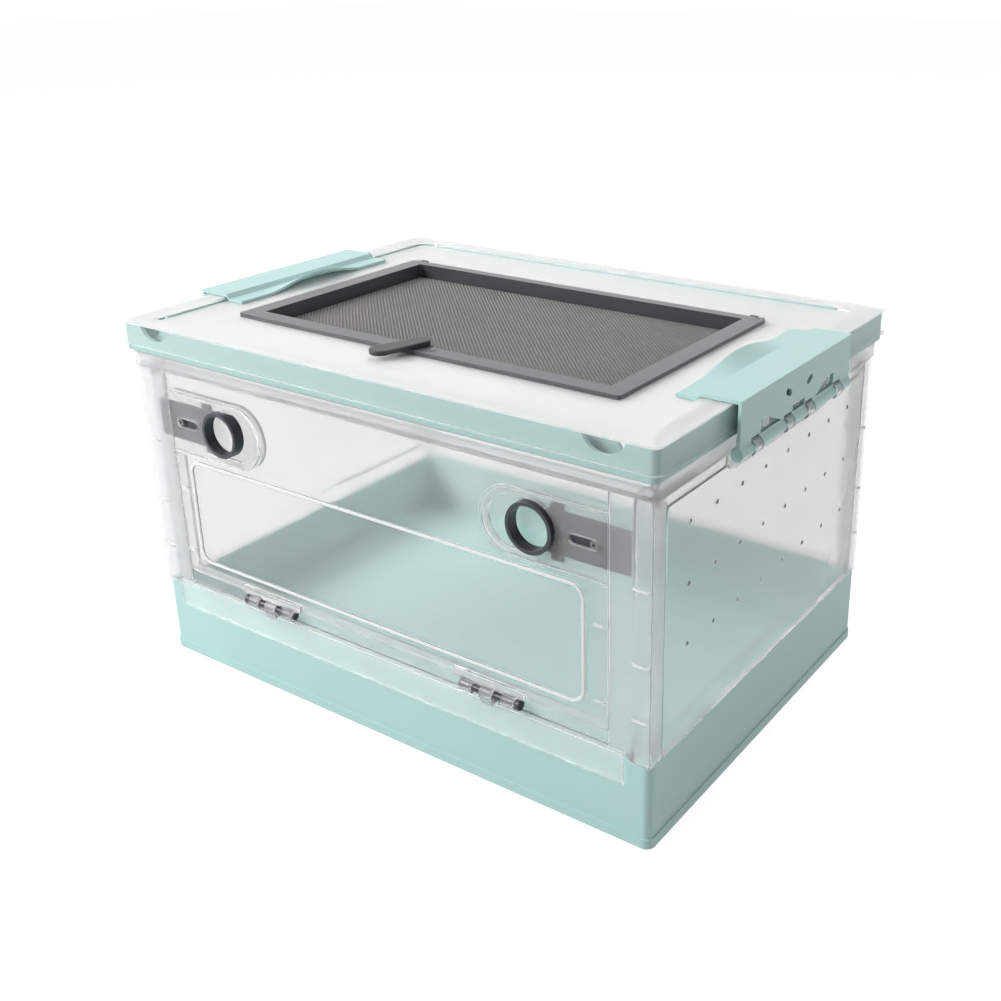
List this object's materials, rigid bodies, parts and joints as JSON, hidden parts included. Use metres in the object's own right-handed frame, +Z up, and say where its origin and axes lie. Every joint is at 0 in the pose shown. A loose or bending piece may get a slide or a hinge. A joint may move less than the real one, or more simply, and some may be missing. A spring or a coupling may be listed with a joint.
{
  "type": "hamster house",
  "caption": "Clear-walled hamster house on a mint tray, with a lift-off lid, a hinged mesh window, a drop-down front door with ring bolts, and swing-over side latches.",
  "frame": {"origin": "on the floor, under the middle of the box", "axes": "+Z up, -Y towards the front door, +X to the right as seen from the front"},
  "size_m": [0.4364, 0.3, 0.2553],
  "materials": {
    "front_frame": "frosted clear",
    "back_wall": "frosted clear",
    "left_side_wall": "frosted clear",
    "right_side_wall": "frosted clear",
    "top_rail": "frosted clear",
    "lid": "frosted clear",
    "front_door": "frosted clear",
    "base_tray": "satin",
    "top_collar": "satin",
    "left_side_latch": "satin",
    "right_side_latch": "satin",
    "left_hinge_pin": "satin",
    "right_hinge_pin": "satin",
    "left_slide_bolt": "satin",
    "right_slide_bolt": "satin",
    "window_frame": "satin, translucent grey",
    "window_mesh": "fine woven wire",
    "turn_latch": "satin",
    "latch_tongue": "satin",
    "left_guide_peg": "satin",
    "right_guide_peg": "satin"
  },
  "bodies": {
    "box": {"base_tray": "base_tray", "front_frame": "front_frame", "back_wall": "back_wall", "top_rail": "top_rail", "top_collar": "top_collar", "left_hinge_pin": "left_hinge_pin", "right_hinge_pin": "right_hinge_pin"},
    "lid": {"lid": "lid"},
    "window": {"window_frame": "window_frame", "window_mesh": "window_mesh"},
    "window_latch": {"turn_latch": "turn_latch", "latch_tongue": "latch_tongue"},
    "front_door": {"front_door": "front_door"},
    "left_bolt": {"left_slide_bolt": "left_slide_bolt", "left_guide_peg": "left_guide_peg"},
    "right_bolt": {"right_slide_bolt": "right_slide_bolt", "right_guide_peg": "right_guide_peg"},
    "left_side_latch": {"left_side_latch": "left_side_latch"},
    "right_side_latch": {"right_side_latch": "right_side_latch"},
    "left_side_wall": {"left_side_wall": "left_side_wall"},
    "right_side_wall": {"right_side_wall": "right_side_wall"}
  },
  "joints": [
    {"name": "lid_lift", "type": "slide", "parent": "box", "child": "lid", "axis": [0, 0, 1], "range_m": [0, 0.24]},
    {"name": "window_hinge", "type": "hinge", "parent": "lid", "child": "window", "pos_m": [0, 0.0843, 0.249], "axis": [-1, 0, 0], "range_deg": [0, 100]},
    {"name": "window_latch_turn", "type": "hinge", "parent": "window", "child": "window_latch", "pos_m": [0, -0.0825, 0.25], "axis": [0, 0, 1], "range_deg": [0, 90]},
    {"name": "door_hinge", "type": "hinge", "parent": "box", "child": "front_door", "pos_m": [0, -0.1445, 0.0655], "axis": [1, 0, 0], "range_deg": [0, 105]},
    {"name": "left_bolt_slide", "type": "slide", "parent": "front_door", "child": "left_bolt", "axis": [1, 0, 0], "range_m": [0, 0.0135]},
    {"name": "right_bolt_slide", "type": "slide", "parent": "front_door", "child": "right_bolt", "axis": [-1, 0, 0], "range_m": [0, 0.0135]},
    {"name": "left_latch_hinge", "type": "hinge", "parent": "box", "child": "left_side_latch", "pos_m": [-0.213, 0, 0.221], "axis": [0, -1, 0], "range_deg": [0, 165]},
    {"name": "right_latch_hinge", "type": "hinge", "parent": "box", "child": "right_side_latch", "pos_m": [0.213, 0, 0.221], "axis": [0, 1, 0], "range_deg": [0, 165]},
    {"name": "left_wall_fold", "type": "hinge", "parent": "box", "child": "left_side_wall", "pos_m": [-0.199, 0, 0.212], "axis": [0, -1, 0], "range_deg": [0, 88]},
    {"name": "right_wall_fold", "type": "hinge", "parent": "box", "child": "right_side_wall", "pos_m": [0.199, 0, 0.212], "axis": [0, 1, 0], "range_deg": [0, 88]}
  ]
}
